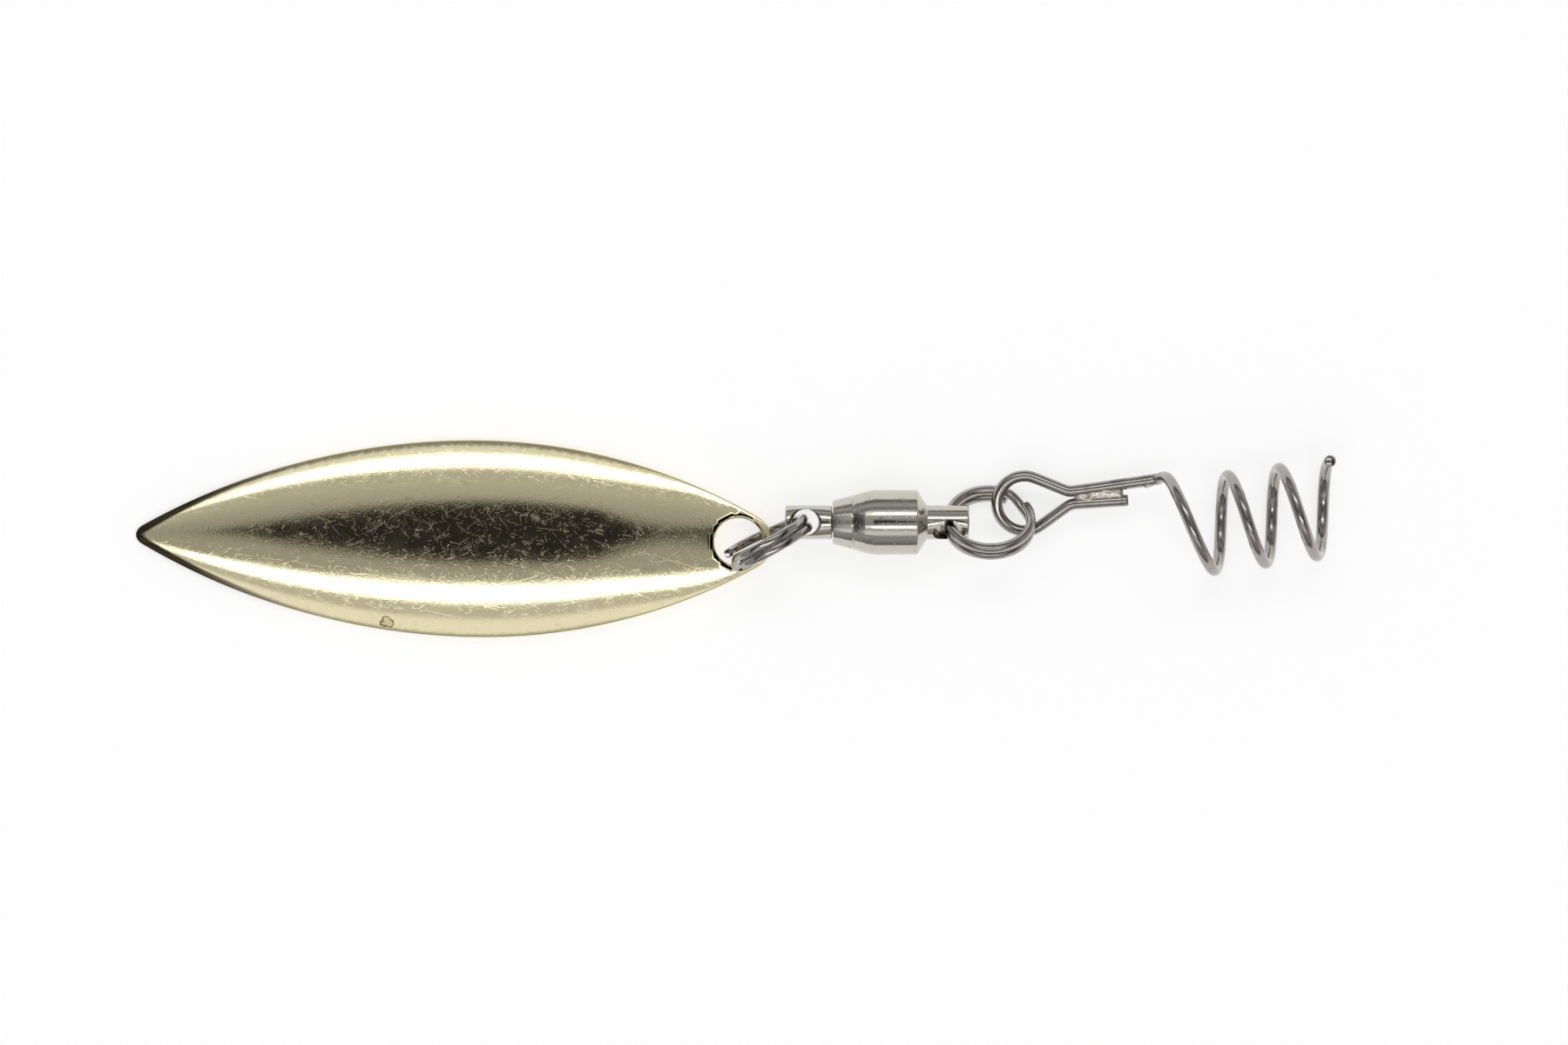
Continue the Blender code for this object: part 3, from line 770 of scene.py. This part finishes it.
def build_eye(finish, local, hole_at, collar_seat):
    """The rotating eye, its shaft and the peened rivet head, with stations from the seam."""
    end = hole_at - EYE_HOLE_TO_END
    shoulder = CAP_FRONT_AT - SEAM_GAP
    peened = collar_seat + COLLAR_LENGTH + BALL_CLEARANCE
    rivet_end = peened + RIVET_LENGTH
    outline = [
        (end, 0, 0),
        (end, EYE_RADIUS, EYE_EDGE),
        (shoulder, EYE_RADIUS, EYE_EDGE),
        (shoulder, SHAFT_RADIUS, 0),
        (peened, SHAFT_RADIUS, 0),
        (peened, RIVET_RADIUS, 0.05 * MM),
        (rivet_end, RIVET_RADIUS * 0.8, 0.12 * MM),
        (rivet_end, 0, 0),
    ]
    mesh = drilled(turned("eye", softened(outline)), eye_drill(hole_at, 0))
    place_piece("eye_and_shaft", mesh, finish, "eye", ["rotating_eye"], local)


def build_cap(finish, local):
    """The end cap: a cone with a spigot that sits in the barrel."""
    bore = SHAFT_RADIUS + SHAFT_CLEARANCE
    spigot = BORE_RADIUS - SPIGOT_CLEARANCE
    outline = [
        (CAP_FRONT_AT, bore, 0.03 * MM),
        (CAP_FRONT_AT, CAP_FRONT_RADIUS, 0.09 * MM),
        (-SEAM_GAP, SEAM_RADIUS, SEAM_EDGE),
        (-SEAM_GAP, spigot, 0),
        (CAP_SPIGOT_LENGTH, spigot, 0.03 * MM),
        (CAP_SPIGOT_LENGTH, bore, 0),
    ]
    mesh = turned("cap", softened(outline))
    place_piece("cap", mesh, finish, "barrel", ["end_cap"], local)


def build_collar(finish, local, seat):
    """The collar on the shaft, which the balls run on."""
    bore = SHAFT_RADIUS + COLLAR_CLEARANCE
    far = seat + COLLAR_LENGTH
    outline = [
        (seat, bore, 0),
        (seat, COLLAR_RADIUS, COLLAR_EDGE),
        (far, COLLAR_RADIUS, COLLAR_EDGE),
        (far, bore, 0),
    ]
    mesh = turned("collar", softened(outline))
    place_piece("collar", mesh, finish, "eye", ["shaft_collar"], local)


def build_barrel(finish, local, hole_at, tilt):
    """The barrel with its blind bore, swollen outside, and the fixed eye behind it."""
    end = hole_at + EYE_HOLE_TO_END
    outline = [
        (BORE_DEPTH + 0.5 * MM, 0, 0),
        (BORE_DEPTH, BORE_RADIUS, 0),
        (0, BORE_RADIUS, 0),
        (0, SEAM_RADIUS, SEAM_EDGE),
        (0.92 * MM, 2.36 * MM, 0.5 * MM),
        (1.60 * MM, BODY_RADIUS, 1.2 * MM),
        (BODY_SHOULDER_AT, BODY_RADIUS, 0.22 * MM),
        (BODY_NECK_AT, EYE_RADIUS, 0.10 * MM),
        (end, EYE_RADIUS, 0.18 * MM),
        (end, 0, 0),
    ]
    mesh = drilled(turned("body", softened(outline)), eye_drill(hole_at, tilt))
    place_piece("barrel", mesh, finish, "barrel", ["swivel_body"], local)


def build_balls(finish):
    """A polished ball in the place of each bearing ball's node."""
    for name in sorted(frame["nodes"]):
        if not name.startswith("bearing_ball"):
            continue
        low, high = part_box(name)
        centre = Matrix.Translation((low + high) / 2)
        bm = bmesh.new()
        bmesh.ops.create_icosphere(bm, subdivisions=3, radius=BALL_RADIUS)
        mesh = mesh_from(bm, name)
        place_piece(name + "_polished", mesh, finish, "balls", [name], centre)


def build_swivel(nickel, steel):
    """The whole swivel, placed by its seam and its two cross holes."""
    seam = Vector(joints["eye_spin"]["pos_m"])
    local = Matrix.Translation(seam)
    front_at = joints["blade_ring_swing"]["pos_m"][0] - seam.x
    rear = joints["screw_ring_swing"]
    rear_at = rear["pos_m"][0] - seam.x
    tilt = math.atan2(rear["axis"][2], -rear["axis"][1])
    collar_seat = CAP_SPIGOT_LENGTH + 2 * BALL_RADIUS + 2 * BALL_CLEARANCE
    build_eye(nickel, local, front_at, collar_seat)
    build_cap(nickel, local)
    build_collar(steel, local, collar_seat)
    build_barrel(nickel, local, rear_at, tilt)
    build_balls(steel)


# ---------------------------------------------------------------- corkscrew wire


def arc(centre, radius, start, end, count):
    """Points on a circle in the plane, from angle start to end."""
    for i in range(count + 1):
        turn = start + (end - start) * i / count
        yield Vector((centre[0] + radius * math.cos(turn), centre[1] + radius * math.sin(turn), 0))


def tangent_angle(centre, radius, point, side):
    """Angle on the circle where a line from point touches it; side is 1 or -1."""
    away = Vector(point) - Vector(centre)
    return math.atan2(away.y, away.x) + side * math.acos(radius / away.length)


def rounded(corner, before, after, radius, count=16):
    """Points of the fillet that rounds a corner between two straight runs."""
    back = (before - corner).normalized()
    on = (after - corner).normalized()
    half = back.angle(on) / 2
    reach = radius / math.tan(half)
    centre = corner + (back + on).normalized() * (radius / math.sin(half))
    start = corner + back * reach - centre
    finish = corner + on * reach - centre
    for i in range(count + 1):
        yield centre + start.slerp(finish, i / count) * radius


def loop_path():
    """From the tail's cut end, round the eye and back to the shank, in the wire's plane."""
    shank_neck = Vector((NECK_AT, SHANK_OFFSET, 0))
    tail_neck = Vector((NECK_AT, SHANK_OFFSET - TAIL_NECK_SPACING, 0))
    tail_end = Vector((*TAIL_END, 0))
    low = tangent_angle(EYE_LOOP_CENTRE, EYE_LOOP_RADIUS, tail_neck.xy, -1)
    high = tangent_angle(EYE_LOOP_CENTRE, EYE_LOOP_RADIUS, shank_neck.xy, 1) - 2 * math.pi
    loop = list(arc(EYE_LOOP_CENTRE, EYE_LOOP_RADIUS, low, high, 90))
    points = [tail_end.lerp(tail_neck, i / 10) for i in range(9)]
    points += rounded(tail_neck, tail_end, loop[0], NECK_BEND_RADIUS)
    points += loop
    points += rounded(shank_neck, loop[-1], Vector((0, SHANK_OFFSET, 0)), NECK_BEND_RADIUS)
    return points


def coil_point(turn):
    """Centre of the wire on the coil, turn from the shank's side."""
    settle = smoothstep(turn / math.radians(150))
    radius = SHANK_OFFSET + (COIL_RADIUS - SHANK_OFFSET) * settle
    along = COIL_PITCH * turn / (2 * math.pi) + COIL_LEAD_IN * smoothstep(turn / math.pi)
    return Vector((COIL_START + along, radius * math.cos(turn), radius * math.sin(turn)))


def eye_lean():
    """The turn about the shank that leans the eye's plane."""
    shank = Vector((0, SHANK_OFFSET, 0))
    return Matrix.Translation(shank) @ Matrix.Rotation(EYE_TWIST, 4, "X") @ Matrix.Translation(-shank)


def wire_path():
    """The whole wire's centreline: tail, eye, shank, bend and coil."""
    lean = eye_lean()
    points = [lean @ p for p in loop_path()]
    first = math.asin(SHANK_BEND_RADIUS / SHANK_OFFSET)
    shank_end = Vector((COIL_START - SHANK_BEND_RADIUS, SHANK_OFFSET, 0))
    points += [points[-1].lerp(shank_end, i / 14) for i in range(1, 14)]
    for i in range(12):
        turn = math.radians(80) * i / 12
        sideways = SHANK_BEND_RADIUS * math.sin(turn)
        up = SHANK_BEND_RADIUS * (1 - math.cos(turn))
        points.append(shank_end + Vector((sideways, 0, up)))
    turns = COIL_END_ANGLE - first
    count = 330
    points += [coil_point(first + turns * i / count) for i in range(count + 1)]
    return points


def relaxed(points, passes=6):
    """Evens out small kinks where two curves meet; the ends stay."""
    for _ in range(passes):
        inner = [(a + b * 2 + c) / 4 for a, b, c in zip(points, points[1:], points[2:])]
        points = [points[0]] + inner + [points[-1]]
    return points


def tube_rows(path, radius_at, sides=28):
    """Rings of points round a path, carried along it without twisting."""
    rows = []
    normal = None
    for i, point in enumerate(path):
        ahead = path[min(i + 1, len(path) - 1)]
        behind = path[max(i - 1, 0)]
        tangent = (ahead - behind).normalized()
        if normal is None:
            normal = tangent.orthogonal().normalized()
        normal = (normal - tangent * normal.dot(tangent)).normalized()
        side = tangent.cross(normal)
        radius = radius_at(i)
        row = []
        for j in range(sides):
            turn = 2 * math.pi * j / sides
            row.append(point + (normal * math.cos(turn) + side * math.sin(turn)) * radius)
        rows.append(row)
    return rows


def build_wire(finish, local):
    """The corkscrew wire with square-cut ends, slightly eased."""
    path = relaxed(wire_path())
    ease = 0.05 * MM
    first = (path[1] - path[0]).normalized()
    last = (path[-1] - path[-2]).normalized()
    path = [path[0], path[0] + first * ease] + path[1:-1] + [path[-1] - last * ease, path[-1]]
    ends = (0, len(path) - 1)
    rows = tube_rows(path, lambda i: WIRE_RADIUS * (0.9 if i in ends else 1.0))
    mesh = capped("screw_wire", rows)
    place_piece("screw_wire", mesh, finish, "screw", ["corkscrew_wire"], local, 50)


def build_solder(finish, local):
    """Lumpy solder that fills the groove between tail and shank and laps onto both."""
    lean = eye_lean()
    start = NECK_AT + 0.35 * MM
    end = TAIL_END[0] - 0.25 * MM
    count = 60
    sides = 28
    rows = []
    for i in range(count + 1):
        share = i / count
        x = start + (end - start) * share
        down = (x - NECK_AT) / (TAIL_END[0] - NECK_AT)
        tail_drop = (TAIL_END[1] - SHANK_OFFSET + TAIL_NECK_SPACING) * down
        tail_y = SHANK_OFFSET - TAIL_NECK_SPACING + tail_drop
        middle = (SHANK_OFFSET + tail_y) / 2
        half = (SHANK_OFFSET - tail_y) / 2
        swell = math.sqrt(max(0.0, 1 - (2 * share - 1) ** 8))
        row = []
        for j in range(sides):
            turn = 2 * math.pi * j / sides
            at = Vector((x / MM * 1.6, math.cos(turn) * 1.1, math.sin(turn) * 1.1))
            lump = 1 + 0.30 * noise.noise(at)
            y = middle + (half + 0.06 * MM) * math.cos(turn) * swell * lump
            z = 0.37 * MM * math.sin(turn) * swell * lump
            row.append(lean @ Vector((x, y, z)))
        rows.append(row)
    place_piece("solder", capped("solder", rows), finish, "screw", ["solder_joint"], local, 60)


def build_burr(finish, local):
    """A small bead of solder on the shank's lower side."""
    bm = bmesh.new()
    bmesh.ops.create_icosphere(bm, subdivisions=4, radius=1.0)
    for vert in bm.verts:
        lump = 1 + 0.35 * noise.noise(vert.co * 1.7)
        vert.co = Vector((vert.co.x * 0.34, vert.co.y * 0.16, vert.co.z * 0.20)) * MM * lump
    place = Matrix.Translation((-0.85 * MM, SHANK_OFFSET - WIRE_RADIUS + 0.02 * MM, 0.16 * MM))
    mesh = mesh_from(bm, "solder_bead")
    place_piece("solder_bead", mesh, finish, "screw", [], local @ place, 60)


# ---------------------------------------------------------------- scene


def build_floor():
    """The white board that the lure lies on."""
    bm = bmesh.new()
    bmesh.ops.create_grid(bm, x_segments=4, y_segments=4, size=FLOOR_SIDE / 2)
    mesh = mesh_from(bm, "table")
    if mesh.polygons[0].normal.z < 0:
        mesh.flip_normals()
    mesh.materials.append(floor_finish())
    table = bpy.data.objects.new("table", mesh)
    table.location.z = cad_box[0].z
    bpy.context.scene.collection.objects.link(table)
    table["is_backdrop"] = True


# Angles from overhead, in degrees. ROOM_TONES holds (from, to, softness, added tone) across the lure,
# STRIP_LAMPS (from, to, softness) across it, and each HOOD pair a middle and a half size.
ROOM_TONES = [
    (-74, 200, 10, 0.14),
    (12, 42, 10, 0.13),
    (-50, -12, 3, 0.20),
    (-47, -32, 3, 0.36),
    (35, 43, 4, 0.35),
    (45, 57, 4, -0.10),
    (58, 72, 8, 0.10),
    (74, 200, 6, -0.14),
]
STRIP_LAMPS = [(-21.5, -13, 2.0), (26, 35, 3.0)]
STRIP_TONE = 2.2
BASE_TONE = 0.22
FAR_END_SHARE = 0.12
END_WALL_TONE = 0.45
HOOD_ALONG = (-3.8, 11.6)
HOOD_ACROSS = (1.8, 7.8)
HOOD_DEPTH = 0.94


def build_world():
    """A soft studio: two long white strip lamps, the camera's dark hood, and grey and pale walls."""
    world = bpy.data.worlds.new("studio")
    bpy.context.scene.world = world
    world.use_nodes = True
    tree = world.node_tree
    background = tree.nodes["Background"]
    direction = tree.nodes.new("ShaderNodeTexCoord").outputs["Generated"]
    split = tree.nodes.new("ShaderNodeSeparateXYZ")
    tree.links.new(direction, split.inputs[0])

    def math_node(operation, a, b=0.0):
        """The result of a Math node."""
        node = tree.nodes.new("ShaderNodeMath")
        node.operation = operation
        for value, socket in ((a, node.inputs[0]), (b, node.inputs[1])):
            if isinstance(value, (int, float)):
                socket.default_value = value
            else:
                tree.links.new(value, socket)
        return node.outputs[0]

    def window(value, low, high, soft):
        """1 between two angles in degrees, fading over soft degrees."""
        rise = math_node("DIVIDE", math_node("SUBTRACT", value, low - soft / 2), soft)
        fall = math_node("DIVIDE", math_node("SUBTRACT", high + soft / 2, value), soft)
        return math_node("MAXIMUM", 0.0, math_node("MINIMUM", 1.0, math_node("MINIMUM", rise, fall)))

    across = math_node("DEGREES", math_node("ARCTAN2", split.outputs["Y"], split.outputs["Z"]))
    along = math_node("DEGREES", math_node("ARCSINE", split.outputs["X"]))
    ahead = math_node("ABSOLUTE", along)
    room = BASE_TONE
    for low, high, soft, tone in ROOM_TONES:
        room = math_node("ADD", room, math_node("MULTIPLY", window(across, low, high, soft), tone))
    near = math_node("MULTIPLY", window(ahead, -90, 33, 7), 1 - FAR_END_SHARE)
    reach = math_node("ADD", FAR_END_SHARE, near)
    lamps = 0.0
    for low, high, soft in STRIP_LAMPS:
        lamps = math_node("ADD", lamps, window(across, low, high, soft))
    lamps = math_node("MULTIPLY", lamps, window(ahead, -90, 20, 6))
    lamps = math_node("MULTIPLY", lamps, STRIP_TONE)
    level = math_node("ADD", math_node("MULTIPLY", room, reach), lamps)
    height = math_node("DEGREES", math_node("ARCSINE", split.outputs["Z"]))
    ends = math_node("MULTIPLY", window(height, -90, 34, 10), window(ahead, 28, 90, 14))
    level = math_node("MAXIMUM", level, math_node("MULTIPLY", ends, END_WALL_TONE))
    end_share = math_node("DIVIDE", math_node("SUBTRACT", along, HOOD_ALONG[0]), HOOD_ALONG[1])
    side_share = math_node("DIVIDE", math_node("SUBTRACT", across, HOOD_ACROSS[0]), HOOD_ACROSS[1])
    lens = math_node("ADD", math_node("ABSOLUTE", side_share), math_node("POWER", end_share, 2.0))
    hood = math_node("MULTIPLY", window(lens, -1.0, 1.0, 0.14), HOOD_DEPTH)
    level = math_node("MULTIPLY", level, math_node("SUBTRACT", 1.0, hood))
    tree.links.new(level, background.inputs["Strength"])
    background.inputs["Color"].default_value = (1.0, 1.0, 1.0, 1.0)


def build_fill_light():
    """A large soft light overhead for the table; the metal doesn't mirror it."""
    data = bpy.data.lights.new("overhead", "AREA")
    data.shape = "SQUARE"
    data.size = FILL_SIDE
    data.energy = FILL_WATTS
    lamp = bpy.data.objects.new("overhead", data)
    lamp.location = (0, 0, FILL_HEIGHT)
    lamp.visible_glossy = False
    lamp.visible_camera = False
    bpy.context.scene.collection.objects.link(lamp)


def build_camera():
    """A camera straight overhead."""
    data = bpy.data.cameras.new("overhead_camera")
    data.lens = CAMERA_LENS
    data.sensor_width = 36.0
    data.clip_start = 0.01
    camera = bpy.data.objects.new("overhead_camera", data)
    camera.location = CAMERA_OVER
    bpy.context.scene.collection.objects.link(camera)
    bpy.context.scene.camera = camera


def ring_frame(joint, x_axis):
    """A split ring's frame from its slide joint: centre, and its axis as Z."""
    z_axis = Vector(joint["axis"]).normalized()
    y_axis = z_axis.cross(x_axis)
    return axes_at(Vector(joint["pos_m"]), x_axis, y_axis)


def main():
    """Builds the pieces, the table and the light."""
    gold = gold_finish("gold_plate_worn")
    nickel = turned_finish("nickel_plate_worn", NICKEL, 0.07)
    ring_wire = drawn_finish("ring_wire_worn", RING_STEEL, 0.07, [3.0, 3.0, 9.0])
    screw_wire = drawn_finish("screw_wire_worn", SCREW_STEEL, 0.08, [1.0, 8.0, 8.0])
    steel = steel_finish("ball_steel_polished")
    solder = solder_finish("solder_dull")

    build_blade(gold)
    front = joints["blade_slide_round_ring"]
    normal = Vector(front["axis"]).normalized()
    heading = Vector((-normal.y, normal.x, 0)).normalized()
    place = ring_frame(front, heading)
    spread = FRONT_RING_SPREAD
    build_ring("front_ring", ring_wire, place, FRONT_RING_END, "front_ring", "blade_split_ring", spread)
    place = ring_frame(joints["screw_slide_round_ring"], Vector((1, 0, 0)))
    build_ring("rear_ring", ring_wire, place, REAR_RING_END, "rear_ring", "screw_split_ring")
    build_swivel(nickel, steel)
    yaw = Matrix.Rotation(SCREW_YAW, 3, "Z")
    pitch = Matrix.Rotation(SCREW_PITCH, 3, "Y")
    turn = yaw @ pitch @ Matrix.Rotation(SCREW_ROLL, 3, "X")
    screw = axes_at(SCREW_ORIGIN, turn.col[0].copy(), turn.col[1].copy())
    build_wire(screw_wire, screw)
    build_solder(solder, screw)
    build_burr(solder, screw)

    build_floor()
    build_world()
    build_fill_light()
    build_camera()
    bpy.context.scene.view_settings.view_transform = "Standard"

    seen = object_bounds()
    [[list(corner) for corner in box] for box in (cad_box, seen)]


main()
